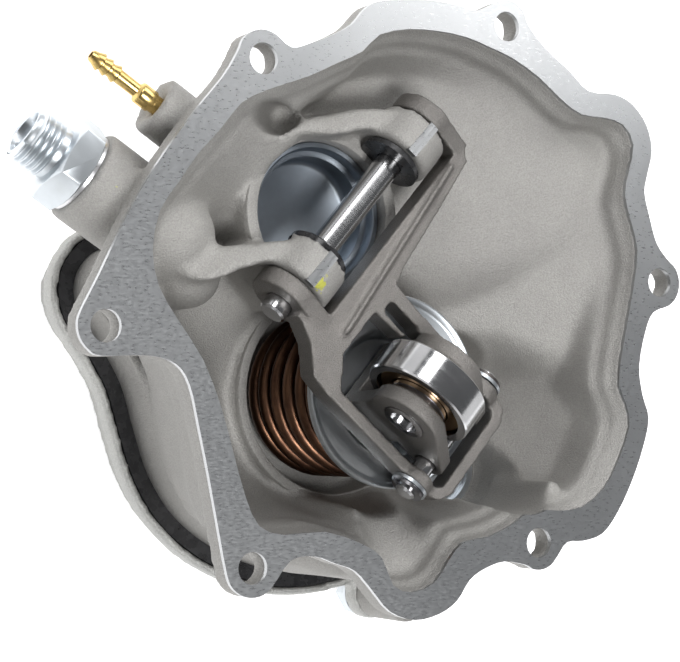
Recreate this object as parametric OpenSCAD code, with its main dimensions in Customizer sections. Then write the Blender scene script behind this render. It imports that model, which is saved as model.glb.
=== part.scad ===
// Piston vacuum pump with a rocker and a ball-bearing cam roller.
// The pump lies on its round cover, with the mounting flange on top.
// The origin is on the piston axis, in the outer face of the cover.

/* [Flange] */
// Height of the flange face above the back of the cover
flange_z = 70; // [68:0.5:76]
// Thickness of the mounting flange
flange_t = 6.6; // [5:0.1:9]
// Clearance hole for an M6 bolt
bolt_hole_d = 7; // [6.4:0.1:8]
// Radius of the ear round each bolt hole
lug_r = 6.3; // [5.8:0.1:7.5]
// Wall of the cast bowl
bowl_wall = 4; // [3:0.1:5]

/* [Cylinder] */
// Bore of the pump cylinder
cylinder_d = 78; // [70:0.5:80]
// Travel of the piston
stroke = 7.5; // [5:0.1:7.5]
// Thickness of the piston
piston_t = 7; // [6:0.1:7]
// Radial running gap of the piston in its cylinder
piston_gap = 0.35; // [0.3:0.05:0.6]
// Height of the piston ring
ring_h = 2.4; // [1.5:0.1:3]
// Room left above and below the piston at the ends of its travel
end_gap = 0.5; // [0.4:0.1:1]
// Thickness of the cylinder head under the spring bore
head_t = 4; // [3:0.1:6]

/* [Cover] */
// Thickness of the back of the cover
cover_t = 4.5; // [3.5:0.1:6]
// Height of the rim of the cover
rim_h = 5; // [4:0.1:7]
// Distance from the back of the cover to the underside of its rim
rim_z = 9; // [7:0.5:11]
// Width of the land outside the cover seal
rim_land = 2.2; // [1.8:0.1:3]
// Width of the rubber seal in the rim
seal_w = 3.4; // [2.5:0.1:4]
// Thread diameter of the cover screws
screw_d = 6; // [5:0.5:6]
// Across the flats of the cover screw heads
screw_head_af = 10; // [9:0.5:11]

/* [Return spring] */
// Diameter of the bore that holds the spring
spring_bore_d = 48; // [46:0.5:52]
// Depth of the rim of the spring bore below the flange face
spring_rim_depth = 36; // [32:0.5:38]
// Outside diameter of the return spring
spring_od = 40; // [34:0.5:42]
// Wire diameter of the return spring
wire_d = 3.6; // [2.5:0.1:4]
// Number of working turns
spring_turns = 4; // [3:0.5:4.5]
// Diameter of the spring retainer
retainer_d = 43.4; // [42:0.2:45]
// Sheet thickness of the spring retainer
retainer_t = 1.6; // [1.2:0.1:2.5]

/* [Rod] */
// Diameter of the piston rod
rod_d = 10; // [8:0.1:12]
// Radial running gap of a shaft in its bush
run_gap = 0.04; // [0.02:0.01:0.08]
// Wall of the rod guide bush
bush_wall = 2; // [1.5:0.1:3]

/* [Rocker] */
// Diameter of the pivot shaft
shaft_d = 6.4; // [6:0.1:8]
// Distance from the pivot shaft to the piston axis
shaft_arm = 36.4; // [35:0.1:38]
// Depth of the pivot shaft below the flange face
shaft_depth = 7; // [6:0.1:9]
// Direction of the pivot shaft, seen from the flange
shaft_turn = 49; // [44:1:54]
// Radius of the two bearing ears
ear_r = 8.5; // [7.5:0.1:9.5]
// Width of the bearing ears
ear_w = 9; // [8:0.1:10]
// Radius of the rocker hubs
hub_r = 7.6; // [7:0.1:8.5]
// Width of the rocker hubs
hub_w = 4.4; // [3.5:0.1:5]
// Gap between a rocker hub and its ear
hub_gap = 0.5; // [0.3:0.1:1]
// Height of the rocker web and bars
rocker_h = 6.2; // [5:0.1:7]
// Wall of the rocker loop
loop_wall = 3; // [2.5:0.1:3.5]

/* [Link] */
// Diameter of the cross pin
cross_pin_d = 5; // [4:0.1:6]
// Distance from the piston axis to the cross pin
cross_arm = 14.2; // [13:0.1:15]
// Depth of the cross pin below the flange face
cross_depth = 3.5; // [2.5:0.1:4.5]
// Radial gap of the cross pin in the fork
cross_gap = 0.35; // [0.3:0.05:0.5]

/* [Roller] */
// Outside diameter of the ball bearing
roller_d = 26; // [24:0.1:28]
// Width of the ball bearing
roller_w = 8; // [7:0.1:8.5]
// Bore of the ball bearing
roller_bore = 10; // [8:0.1:11]
// Height of the roller centre above the flange face
roller_rise = 4; // [2:0.1:5]
// Number of balls
ball_count = 7; // [6:1:8]
// Diameter of the balls
ball_d = 4.7; // [4:0.1:5]
// Thickness of the fork cheeks
cheek_t = 3.8; // [3:0.1:4]

/* [Ports] */
// Depth of the vacuum union below the flange face
union_depth = 18; // [17.5:0.1:20]
// Thread diameter of the vacuum union
union_thread_d = 14; // [12:0.5:16]
// Length of the union thread
union_thread_l = 8.4; // [8:0.1:12]
// Across the flats of the union hexagon
union_af = 19; // [17:0.5:22]
// Radius of the cast boss behind the union
union_boss_r = 10.2; // [9.5:0.1:11]
// Depth of the hose nipple below the flange face
nipple_depth = 14; // [13.8:0.1:16]
// Tube diameter of the hose nipple
nipple_d = 3.2; // [2.8:0.1:4]
// Length of the hose nipple outside its boss
nipple_l = 17.5; // [15:0.5:22]
// Radius of the cast boss behind the nipple
nipple_boss_r = 6.8; // [6:0.1:7]
// Radius of the outlet valve chamber
valve_r = 10.2; // [9:0.1:10.4]
// Radius of the core plug
plug_r = 16.8; // [15:0.1:18]
// Wall of the ring boss round the core plug
plug_wall = 3.1; // [2.5:0.1:4]
// Depth of the top of the ring boss below the flange face
plug_depth = 12; // [10:0.5:14]

/* [Hidden] */
$fn = 64;
eps = 0.01;
seat_gap = 0.05;

// Bolt holes of the flange, clockwise from the left one
bolts = [[-76.4, 12.6], [-39.5, 71.6], [25.4, 85.5],
    [71, 27.2], [33.9, -35.1], [-42, -38.3]];

// Heights that follow from the driving sizes
flange_back = flange_z - flange_t;
bore_rim_z = flange_z - spring_rim_depth;
piston_floor = cover_t;
nut_recess = 4.6;
head_z = piston_floor + piston_t + stroke + 2 * end_gap;
bore_floor_z = head_z + head_t;
shaft_z = flange_z - shaft_depth;
cross_z = flange_z - cross_depth;
roller_z = flange_z + roller_rise;
piston_z = head_z - end_gap - piston_t;
rim_top = rim_z + rim_h;
skirt_end = cover_t + 0.6;

// The rocker frame has x along the pivot shaft and y towards the shaft
lower_ear = -1.4;
upper_ear = 39.1;
lower_hub = lower_ear - hub_gap - hub_w;
upper_hub = upper_ear + ear_w + hub_gap;

// Fork and bearing
inner_gap = 1.6;
cheek_in = roller_w / 2 + inner_gap;
cheek_out = cheek_in + cheek_t;
cheek_hub_r = 8.8;
cheek_eye_r = 4.4;
fork_base_z = roller_z - roller_d / 2 - 7;
fork_base_t = 4.6;
ball_ring_r = (roller_d + roller_bore) / 4;
race_wall = 2.2;
inner_race_r = roller_bore / 2 + race_wall;
outer_race_r = roller_d / 2 - race_wall;

// Retainer and spring
retainer_z = flange_z - 10;
retainer_base_z = fork_base_z - retainer_t;
spring_seat_z = retainer_z - retainer_t;
spring_r = (spring_od - wire_d) / 2;

// Rod guide
guide_r = rod_d / 2 + bush_wall + 3;
guide_top = bore_floor_z + 9;
bush_r = rod_d / 2 + bush_wall;

// Fittings, all square to the left edge of the flange
port_turn = 148;
union_face = [-74.3, 46.2];
nipple_face = [-59.2, 62.1];
union_hex_l = 6.4;
lobe = [-49, 25.5];
lobe_r = 7.6;
lobe_chamber_r = 4.6;
union_run = 24;

// Core plug and outlet valve
plug_at = [-17.5, 40.3];
valve_at = [31.7, -18.4];
valve_wall = 2.4;
valve_seat_z = head_z + 1.5;
valve_top = valve_seat_z + 10.5;
valve_pocket_r = valve_r + 1.2;
valve_plate_t = 1.2;
cap_t = 1.3;
cap_z = valve_top - cap_t - 1.6;
core_hole_at = [-30.5, 60.6];
core_hole_r = 3.7;
pocket_at = [26, 0.4];
pocket_r = 14.8;
inlet_seat_z = piston_floor + 8.5;
inlet_seat_t = 1.6;
inlet_chamber_r = 6.6;
inlet_plate_z = inlet_seat_z - inlet_seat_t - seat_gap - valve_plate_t;
valve_port_r = 2.8;

// Cover screws
screw_at = [[24, -50.4], [49.6, -28.8], [57.6, 4], [45.2, 38], [14, 56.2], [-22.8, 55]];
screw_lug_r = 6.4;
screw_boss_top = rim_top + 16;
screw_rib_h = 15;

// A smooth closed curve through the given points
function curve_point(a, b, c, d, t) =
    0.5 * (2 * b + (c - a) * t + (2 * a - 5 * b + 4 * c - d) * t * t
        + (3 * b - a - 3 * c + d) * t * t * t);
function closed_curve(p, steps) = let (n = len(p))
    [for (i = [0:n - 1]) for (k = [0:steps - 1])
        curve_point(p[(i + n - 1) % n], p[i], p[(i + 1) % n], p[(i + 2) % n], k / steps)];

// Points moved inwards along the normal of a clockwise curve
function inset_point(p, i, d) = let (n = len(p),
    t = p[(i + 1) % n] - p[(i + n - 1) % n], l = norm(t))
    p[i] + d * [t[1], -t[0]] / l;
function inset(p, d) = [for (i = [0:len(p) - 1]) inset_point(p, i, d)];

// Arc of a bolt ear, clockwise from one angle to the other
function ear_arc(i, from, to, count = 3) =
    [for (k = [0:count]) bolts[i] + lug_r * [cos(from + (to - from) * k / count),
        sin(from + (to - from) * k / count)]];

// Outer edge of the flange, clockwise from the left bolt ear
flange_knots = concat(
    ear_arc(0, 262, 150, 4),
    [[-78, 23], [-69, 40.6], [-58.5, 55.8], [-49.5, 66.6]],
    ear_arc(1, 170, 62, 4),
    [[-32.6, 74.7], [-28, 76], [-22, 78.6], [-17, 81.6], [-13, 86], [-8, 87.9],
        [2.4, 89.2], [11, 89], [16.5, 88.2]],
    ear_arc(2, 130, 8, 4),
    [[36.4, 81.6], [43.8, 76.6], [49.6, 72.4], [57.5, 72.3], [63, 70.3], [67.3, 65.6],
        [68.9, 59.5], [67.4, 53.4], [66.5, 49], [68, 43.2], [70.2, 36.8]],
    ear_arc(3, 66, -62, 4),
    [[69, 19.8], [66.4, 15], [64.4, 6.5], [65.4, -0.5], [67.2, -6], [65.4, -13],
        [62, -20.8], [57.6, -28.2], [52.8, -33.4], [47, -35], [42.2, -35.2]],
    ear_arc(4, -30, -128, 4),
    [[24, -39.1], [18.5, -40.5], [14.2, -43], [10.8, -47.4], [6, -50.2], [-0.7, -51.3],
        [-7.3, -49.1], [-12, -44.2], [-16.4, -39.8], [-21.5, -38], [-26.6, -36.3],
        [-32.6, -36.9]],
    ear_arc(5, -42, -172, 4),
    [[-50.2, -30], [-52.6, -18.3], [-55, -7.7], [-57.1, 0.6], [-60.4, 5],
        [-66.5, 6.7]]);

// Mouth of the bowl in the flange face, clockwise from the left
mouth_knots = [[-65.9, 28.7], [-64.2, 37.2], [-59.7, 43.6], [-55.6, 49.4], [-50.2, 55.2],
    [-45, 61.4], [-40, 64.2], [-34, 66.6], [-28, 68.9], [-20.3, 72.7], [-14.4, 75.6],
    [-9.8, 79.9], [-2, 82], [6.5, 82.4], [14, 81.8], [20.4, 80.2], [27.1, 78.2],
    [34.9, 74.3], [41.4, 69.6], [47.5, 66.6], [54, 66.4], [60, 65.2], [63.2, 60.4],
    [61.6, 53.6], [60.4, 48.1], [62.2, 41.8], [64.2, 34.8], [63, 26.4], [60.8, 17],
    [58.8, 8.1], [58.2, 2], [60.3, -2.7], [61.2, -8], [57.6, -16.4], [53.4, -22.6],
    [47, -27], [39.6, -27.8], [32.4, -27.4], [26.8, -30.4], [20, -33.2], [12.6, -34.4],
    [8.6, -38.2], [4.6, -43.2], [-1.2, -45.1], [-6.4, -43.4], [-9.4, -37.2],
    [-14.4, -34], [-24, -31], [-34.1, -31.4], [-40.4, -29.4], [-43.8, -23],
    [-46.8, -13.4], [-49.6, -4.2], [-54, 6], [-60.2, 14.6], [-64.4, 21.2]];

// Rim of the cover, clockwise from the valve lobe
cover_knots = [[-65.3, 23.5], [-63.6, 31.4], [-57.5, 38.2], [-47, 41.8], [-37, 46],
    [-21, 51], [0, 52.5], [18, 50.4], [36, 41.6], [49, 24.4], [53, 6], [51.6, -12],
    [44, -29], [31.4, -41.4], [14, -48.4], [-5, -49.6], [-23, -43.8], [-36.6, -34.4],
    [-45, -22.6], [-49.6, -10], [-52.6, -0.4], [-57.6, 8], [-63.2, 15.6]];

flange_edge = closed_curve(flange_knots, 3);
mouth_edge = closed_curve(mouth_knots, 2);
cover_edge = closed_curve(cover_knots, 4);

// Relief of the left side of the bowl by direction from the piston axis: depth at the foot
// of its wall, then at three shares of the way from there to the rim of the spring bore
foot_depth = [[-180, 16], [-165, 20], [-140, 25], [-115, 22], [-104, 9], [-84, 8], [-74, 8],
    [-66, 10], [-52, 9], [-40, 6], [-30, 4], [-10, 5], [0, 6], [20, 7], [40, 7], [70, 8],
    [100, 7], [115, 5], [138, 4], [144, 7], [152, 8], [160, 12], [180, 16]];
near_depth = [[-180, 32], [-140, 34], [-115, 34], [-104, 13], [-80, 12], [-70, 20], [-58, 30],
    [-44, 28], [90, 28], [112, 15], [124, 14.5], [132, 18], [140, 28], [150, 32], [180, 32]];
mid_depth = [[-180, 39], [-115, 39], [-104, 16], [-80, 15], [-70, 26], [-58, 36], [90, 36],
    [112, 20], [124, 16], [140, 32], [160, 36], [180, 39]];
end_depth = [[-180, 40], [-60, 40], [-40, 38], [0, 36], [100, 36], [150, 38], [180, 40]];

// Steps of the cast wall: distance inwards from the mouth, and share of its height
wall_steps = [[0, -0.4], [0, 0.05], [0.7, 0.4], [2.3, 0.5], [3, 0.92], [4.6, 1]];
wall_foot = wall_steps[len(wall_steps) - 1][0];

// The right side of the bowl is a dish that rolls over into a strip, which ends at a ridge,
// with a scoop down to the outlet valve below it
dish_centre = [26, 79];
dish_r = 58;
dish_roll = 13;
ridge_y = 16.5;
scoop_centre = [30, -3];
scoop_r = 31.5;
scoop_slope = 1.7;

function smooth(t) = let (u = max(0, min(1, t))) u * u * (3 - 2 * u);
function mix(a, b, t) = a + (b - a) * t;
function smooth_min(a, b, w) = let (h = max(0, w - abs(a - b)) / w) min(a, b) - h * h * w / 4;
function dish_depth(q) = let (past = max(0, norm(q - dish_centre) - dish_r + dish_roll))
    35 - 0.306 * q[0] - 0.254 * q[1] + 0.03 * past * past;
function strip_depth(q) = let (past = max(0, ridge_y - 0.5 * max(0, q[0] - 38) - q[1]))
    44.6 - 0.57 * q[0] - 0.12 * q[1] + 0.15 * past * past;
function scoop_depth(q) = let (d = q - scoop_centre)
    2 + scoop_slope * (scoop_r - norm([max(0, d[0]), min(0, d[1])]));
function right_depth(q) = let (upper = smooth_min(dish_depth(q), strip_depth(q), 1.5),
    all = smooth_min(upper, scoop_depth(q), 2.5)) min(spring_rim_depth, all);
function side_depth(t, share) =
    share < 0.4 ? mix(lookup(t, foot_depth), lookup(t, near_depth), share / 0.4)
    : share < 0.76 ? mix(lookup(t, near_depth), lookup(t, mid_depth), (share - 0.4) / 0.36)
    : mix(lookup(t, mid_depth), lookup(t, end_depth), (share - 0.76) / 0.24);
function floor_depth(q, share) = let (t = atan2(q[1], q[0]),
    right = smooth((t + 54) / 14) * smooth((116 - t) / 14))
    mix(side_depth(t, share), -smooth_min(-lookup(t, foot_depth), -right_depth(q), 4), right);

// One ring of the bowl for each step, from above the flange down to its flat floor
function bowl_rings(edge, floor_r, lower, steps) = concat(
    [for (s = wall_steps) [for (p = edge) let (q = p * (1 - s[0] / norm(p)),
        depth = s[1] * lookup(atan2(p[1], p[0]), foot_depth))
        [q[0], q[1], flange_z - depth - (s[1] > 0 ? lower : 0)]]],
    [for (i = [1:steps]) [for (p = edge) let (start = p * (1 - wall_foot / norm(p)),
        q = mix(start, p / norm(p) * floor_r, i / steps))
        [q[0], q[1], flange_z - floor_depth(q, i / steps) - lower]]]);

module bowl(edge, floor_r, lower, steps) {
    n = len(edge);
    rings = bowl_rings(edge, floor_r, lower, steps);
    m = len(rings);
    points = [for (r = rings) each r];
    sides = [for (j = [0:m - 2]) for (i = [0:n - 1]) let (a = j * n + i, b = j * n + (i + 1) % n)
        each [[a, a + n, b], [b, a + n, b + n]]];
    bottom = [for (i = [0:n - 1]) [m * n, (m - 1) * n + (i + 1) % n, (m - 1) * n + i]];
    polyhedron(points = concat(points, [[0, 0, flange_z - spring_rim_depth - lower]]),
        faces = concat([[for (i = [0:n - 1]) i]], sides, bottom));
}

// Placing modules
module rocker_frame() {
    rotate([0, 0, shaft_turn]) children();
}

module along_x(from, at_y, at_z) {
    translate([from, at_y, at_z]) rotate([0, 90, 0]) children();
}

module port(face, depth) {
    translate([face[0], face[1], flange_z - depth]) rotate([0, 0, port_turn])
        rotate([0, 90, 0]) children();
}

// Plate between two round ends, standing on the y and z axes
function tangent_points(a, ra, b, rb) = let (d = b - a, l = norm(d), base = atan2(d[1], d[0]),
    off = acos((ra - rb) / l))
    [a + ra * [cos(base + off), sin(base + off)], a + ra * [cos(base - off), sin(base - off)],
        b + rb * [cos(base - off), sin(base - off)], b + rb * [cos(base + off), sin(base + off)]];

module link_2d(a, ra, b, rb) {
    translate(a) circle(r = ra);
    translate(b) circle(r = rb);
    polygon(tangent_points(a, ra - 0.02, b, rb - 0.02));
}

// A profile in y and z, pushed along x
module slab_x(from, width) {
    translate([from, 0, 0]) rotate([90, 0, 90]) linear_extrude(width) children();
}

module ring(outer, inner, height) {
    difference() {
        cylinder(r = outer, h = height);
        translate([0, 0, -eps]) cylinder(r = inner, h = height + 2 * eps);
    }
}

// A coil spring with closed ends, swept as one solid
module coil(mean_r, wire, length, turns, sides = 8, per_turn = 18) {
    rise = length - wire;
    total = turns + 2;
    count = ceil(total * per_turn);
    closed = wire * 1.03;
    function lift(t) = t < 1 ? closed * t
        : t > total - 1 ? rise - closed * (total - t)
        : closed + (rise - 2 * closed) * (t - 1) / turns;
    rings = [for (i = [0:count]) let (t = total * i / count, a = 360 * t)
        [for (k = [0:sides - 1]) let (b = 360 * k / sides, r = mean_r + wire / 2 * cos(b))
            [r * cos(a), r * sin(a), wire / 2 + lift(t) + wire / 2 * sin(b)]]];
    points = [for (r = rings) each r];
    faces = concat([[for (k = [0:sides - 1]) k]],
        [for (i = [0:count - 1]) for (k = [0:sides - 1])
            let (a = i * sides + k, b = i * sides + (k + 1) % sides)
            each [[a, a + sides, b], [b, a + sides, b + sides]]],
        [[for (k = [sides - 1:-1:0]) count * sides + k]]);
    polyhedron(points = points, faces = faces);
}

// Bearing ear: hub, web down to the floor, and an arm that falls to the wall of the bowl
lower_arm = [[0, 8.4], [-3.3, 10.4], [-7, 12.6], [-10.4, 13.9], [-13.6, 16.4], [-15.6, 19.6],
    [-9.6, 23.6], [-6.5, 20.4], [-3.6, 17.1], [0.1, 13.9], [4.8, 9.6], [9, 5]];
upper_arm = [[0, 8], [-0.4, 9.5], [-3.8, 11.8], [-7.1, 14.2], [-10, 17.6], [-12.1, 20.1],
    [-10, 22], [-6.2, 20.1], [-3.2, 17.6], [1.3, 14.5], [5.1, 10.7], [9, 5]];
arm_fall = 9;
arm_reach = 26;

module bearing_ear(from, arm) {
    along_x(from, shaft_arm, shaft_z) cylinder(r = ear_r, h = ear_w);
    linear_extrude_z(bore_rim_z - 2, shaft_z) translate([from, shaft_arm - ear_r + 1.3])
        square([ear_w, 2 * ear_r - 2.6]);
    intersection() {
        linear_extrude_z(bore_rim_z - 2, flange_z) translate([from, shaft_arm])
            polygon(concat(arm, [[ear_w, 0], [0, 0]]));
        slab_x(from - arm_reach, arm_reach + ear_w) polygon([[shaft_arm, 0],
            [shaft_arm, shaft_z + 6], [shaft_arm + 5, shaft_z + 5.4],
            [shaft_arm + 12, shaft_z + 2], [shaft_arm + 19, flange_z - arm_fall],
            [shaft_arm + arm_reach, flange_z - arm_fall - 1], [shaft_arm + arm_reach, 0]]);
    }
}

module linear_extrude_z(from, to) {
    translate([0, 0, from]) linear_extrude(to - from) children();
}

module housing_body() {
    difference() {
        union() {
            linear_extrude_z(flange_back, flange_z) polygon(flange_edge);
            intersection() {
                bowl(inset(closed_curve(mouth_knots, 1), -bowl_wall), cylinder_d / 2 + 5,
                    bowl_wall + 1, 5);
                linear_extrude_z(0, flange_back + 1) square(300, center = true);
            }
            // Walls round the valve's pocket and round the cored hole
            translate([valve_at[0], valve_at[1], head_z + 1])
                cylinder(r = valve_pocket_r + 3, h = valve_top + 14 - head_z);
            translate([core_hole_at[0] + 3, core_hole_at[1], flange_z - 23])
                cylinder(r = core_hole_r + 4.5, h = 14);
            // Floor under the pocket beside the spring bore
            translate([pocket_at[0], pocket_at[1], bore_floor_z])
                cylinder(r = pocket_r + 3, h = bore_rim_z - bore_floor_z);
        }
        bowl(mouth_edge, spring_bore_d / 2 + 1, 0, 14);
        // Pocket of the outlet valve, which opens into the scoop
        translate([valve_at[0], valve_at[1], valve_top]) cylinder(r = valve_pocket_r, h = 19);
    }
    // Cylinder skirt and its head
    linear_extrude_z(skirt_end, bore_floor_z + 2)
        polygon(inset(cover_edge, rim_land + seal_w + 0.4));
    // Tube round the spring bore
    translate([0, 0, head_z]) cylinder(r = spring_bore_d / 2 + 2.4, h = bore_rim_z - head_z);
    // Inlet chamber in the lobe, with a round top inside the bowl
    translate([lobe[0], lobe[1], bore_floor_z])
        cylinder(r = lobe_r, h = flange_z - union_depth - bore_floor_z);
    translate([lobe[0], lobe[1], flange_z - union_depth]) sphere(r = lobe_r);
    // Cylinder of the union's passage, lying along the union's axis
    port(union_face, union_depth) mirror([0, 0, 1]) cylinder(r = union_boss_r + 0.6, h = union_run);
    port(union_face, union_depth) mirror([0, 0, 1]) translate([0, 0, union_run])
        sphere(r = union_boss_r + 0.6);
    // Screw bosses
    for (p = screw_at) {
        translate([p[0], p[1], rim_top]) cylinder(r = screw_lug_r - 0.4, h = screw_boss_top - rim_top);
        translate([0, 0, rim_top]) rotate([0, 0, atan2(p[1], p[0])])
            translate([cylinder_d / 2 + 2, 3.6 - screw_lug_r])
                cube([norm(p) - cylinder_d / 2 - 2, 2 * screw_lug_r - 7.2, screw_rib_h]);
    }
    // Ring boss for the core plug
    translate([plug_at[0], plug_at[1], bore_rim_z]) cylinder(r = plug_r + plug_wall,
        h = flange_z - plug_depth - bore_rim_z);
    // Outlet valve boss
    translate([valve_at[0], valve_at[1], head_z + 1]) cylinder(r = valve_r + valve_wall,
        h = valve_top - head_z - 1);
    // Bearing ears
    rocker_frame() {
        bearing_ear(lower_ear, lower_arm);
        bearing_ear(upper_ear, upper_arm);
    }
    // Bosses of the two fittings
    port(union_face, union_depth) mirror([0, 0, 1]) cylinder(r = union_boss_r, h = union_run);
    port(nipple_face, nipple_depth) mirror([0, 0, 1]) cylinder(r = nipple_boss_r, h = 16);
}

module housing() {
    color("silver") difference() {
        housing_body();
        // Bolt holes, with room for the screws behind the flange
        for (p = bolts) translate([p[0], p[1], flange_back - 20]) {
            cylinder(d = bolt_hole_d, h = flange_t + 21);
            cylinder(r = lug_r + 0.6, h = 20);
        }
        // Cylinder
        translate([0, 0, -1]) cylinder(d = cylinder_d, h = head_z + 1);
        // Spring bore, with the rod guide left standing in it
        translate([0, 0, bore_floor_z]) ring(spring_bore_d / 2, guide_r, flange_z - bore_floor_z);
        translate([0, 0, guide_top]) cylinder(r = spring_bore_d / 2, h = flange_z);
        translate([0, 0, head_z - 1]) cylinder(r = bush_r, h = flange_z);
        // Core plug seat
        translate([plug_at[0], plug_at[1], flange_z - plug_depth - 14]) cylinder(r = plug_r, h = 20);
        translate([plug_at[0], plug_at[1], flange_z - plug_depth - 24])
            cylinder(r = plug_r - 3.5, h = 11);
        // Outlet valve chamber and its port
        translate([valve_at[0], valve_at[1], valve_seat_z]) cylinder(r = valve_r, h = flange_z);
        translate([valve_at[0], valve_at[1], 0]) cylinder(r = valve_port_r, h = valve_seat_z + 1);
        translate([valve_at[0], valve_at[1], cap_z + cap_t]) cylinder(r = valve_r + 0.8, h = 1.2);
        // Pocket beside the spring bore
        translate([pocket_at[0], pocket_at[1], bore_rim_z]) cylinder(r = pocket_r, h = spring_rim_depth);
        // Pivot bores in the ears
        rocker_frame() along_x(lower_ear - 1, shaft_arm, shaft_z)
            cylinder(r = shaft_d / 2 + 1.6, h = upper_ear + ear_w - lower_ear + 2);
        // Room for the shaft and its seals between the ears
        rocker_frame() along_x(lower_ear + ear_w, shaft_arm, shaft_z)
            cylinder(r = ear_r - 0.8, h = upper_ear - lower_ear - ear_w);
        // Inlet passage from the union to the lobe
        port(union_face, union_depth) mirror([0, 0, 1]) translate([0, 0, -1]) cylinder(r = 7, h = 8);
        port(union_face, union_depth) mirror([0, 0, 1]) translate([0, 0, -1]) cylinder(r = 4, h = union_run + 7);
        translate([lobe[0], lobe[1], -1]) cylinder(r = lobe_chamber_r, h = flange_z - union_depth + 1);
        translate([lobe[0], lobe[1], -1]) cylinder(r = inlet_chamber_r, h = inlet_seat_z + 1);
        // Passage of the nipple
        port(nipple_face, nipple_depth) mirror([0, 0, 1]) translate([0, 0, -1]) cylinder(r = 4.6, h = 2);
        port(nipple_face, nipple_depth) mirror([0, 0, 1]) cylinder(d = nipple_d + 1.2, h = 9);
        port(nipple_face, nipple_depth) mirror([0, 0, 1]) cylinder(d = nipple_d - 1, h = 24);
        // Slanted cored hole in the upper left of the bowl
        translate([core_hole_at[0], core_hole_at[1], flange_z - 10]) rotate([0, -42, 12])
            translate([0, 0, -10]) cylinder(r = core_hole_r, h = 22);
        // Tapped holes of the cover screws
        for (p = screw_at) translate([p[0], p[1], -1]) cylinder(d = screw_d, h = screw_boss_top - 2);
    }
}

// Cover
module cover() {
    cup = inset(cover_edge, rim_land + 0.8);
    bore = inset(cover_edge, rim_land + seal_w + 0.25);
    seat = inset(cover_edge, rim_land);
    color("gainsboro") difference() {
        union() {
            linear_extrude_z(0, rim_z + 1) polygon(cup);
            linear_extrude_z(rim_z, rim_top) polygon(cover_edge);
            for (p = screw_at) translate([p[0], p[1], rim_z]) cylinder(r = screw_lug_r, h = rim_h);
        }
        linear_extrude_z(cover_t, rim_top + 1) polygon(bore);
        linear_extrude_z(rim_z + 1, rim_top + 1) polygon(seat);
        for (p = screw_at) translate([p[0], p[1], -1]) cylinder(d = screw_d + 0.6, h = rim_top + 2);
        for (p = screw_at) translate([p[0], p[1], -1]) cylinder(r = screw_lug_r + 0.2, h = rim_z + 1);
    }
}

module cover_seal() {
    color("black") linear_extrude_z(rim_z + 1, rim_top - 0.4) difference() {
        polygon(inset(cover_edge, rim_land + seat_gap));
        polygon(inset(cover_edge, rim_land + seal_w + 0.35));
        for (p = screw_at) translate([p[0], p[1], 0]) circle(r = screw_lug_r + 0.2);
    }
}

module cover_screws() {
    color("lightgray") for (p = screw_at) translate([p[0], p[1], 0]) {
        translate([0, 0, rim_z - 5]) cylinder(d = screw_head_af * 2 / sqrt(3), h = 4, $fn = 6);
        translate([0, 0, rim_z - 1.2]) cylinder(d = screw_head_af + 2, h = 1.2);
        translate([0, 0, rim_z - 2]) cylinder(d = screw_d - 0.1, h = screw_boss_top - rim_z - 4);
    }
}

// Core plug: a pressed cup with a rolled step
module core_plug() {
    outer = plug_r - 0.02;
    color("slategray") translate([plug_at[0], plug_at[1], flange_z - plug_depth - 14])
        rotate_extrude() polygon([[0, 0.02], [outer, 0.02], [outer, 11], [outer - 1.6, 11],
            [outer - 1.6, 8.5], [outer - 3.2, 8.5], [outer - 3.2, 2.6], [outer - 4.6, 1.7], [0, 1.7]]);
}

module shaft_bushes() {
    color("darkgoldenrod") rocker_frame() for (x = [lower_ear, upper_ear])
        along_x(x, shaft_arm, shaft_z) ring(shaft_d / 2 + 1.6, shaft_d / 2 + run_gap, ear_w);
}

module shaft_seals() {
    color("black") rocker_frame() for (x = [lower_ear + ear_w + seat_gap, upper_ear - 1.8 - seat_gap])
        along_x(x, shaft_arm, shaft_z) rotate_extrude()
            polygon([[shaft_d / 2 + 0.15, 0], [ear_r - 1.1, 0], [ear_r - 1.1, 1.2],
                [ear_r - 1.8, 1.8], [shaft_d / 2 + 0.9, 1.8], [shaft_d / 2 + 0.15, 1.1]]);
}

module rod_bush() {
    color("peru") translate([0, 0, head_z + 0.4])
        ring(bush_r, rod_d / 2 + run_gap, guide_top - head_z - 3.4);
}

module rod_seal() {
    color("black") translate([0, 0, guide_top - 3]) rotate_extrude()
        polygon([[rod_d / 2 + 0.1, 0.8], [rod_d / 2 + 0.5, 0], [bush_r, 0], [bush_r, 3],
            [rod_d / 2 + 1.2, 3], [rod_d / 2 + 0.1, 2]]);
}

// Vacuum union, threaded stub outside and plain stub in the boss
module union_fitting() {
    color("lightsteelblue") port(union_face, union_depth) difference() {
        union() {
            translate([0, 0, 0.8]) cylinder(d = union_af * 2 / sqrt(3), h = union_hex_l, $fn = 6);
            translate([0, 0, 0.8 + union_hex_l]) rotate_extrude()
                polygon([[0, 0], [union_thread_d / 2 - 1, 0], [union_thread_d / 2 - 1, 0.8],
                    [union_thread_d / 2, 1.6], [union_thread_d / 2, union_thread_l - 0.8],
                    [union_thread_d / 2 - 0.8, union_thread_l], [0, union_thread_l]]);
            translate([0, 0, -6]) cylinder(r = 7, h = 7);
        }
        translate([0, 0, -7]) cylinder(r = 4, h = 30);
        translate([0, 0, union_hex_l + union_thread_l + 0.8 - 4.2]) rotate_extrude()
            polygon([[0, 0], [4, 0], [5.6, 4.3], [0, 4.3]]);
    }
}

module union_washer() {
    color("silver") port(union_face, union_depth) translate([0, 0, 0.02]) ring(9.3, 7.05, 0.76);
}

// Inlet valve in the lobe, between the union's passage and the cover
module inlet_valve_seat() {
    color("gainsboro") translate([lobe[0], lobe[1], inlet_seat_z - inlet_seat_t])
        ring(inlet_chamber_r - 0.02, 3.6, inlet_seat_t - 0.02);
}

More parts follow.
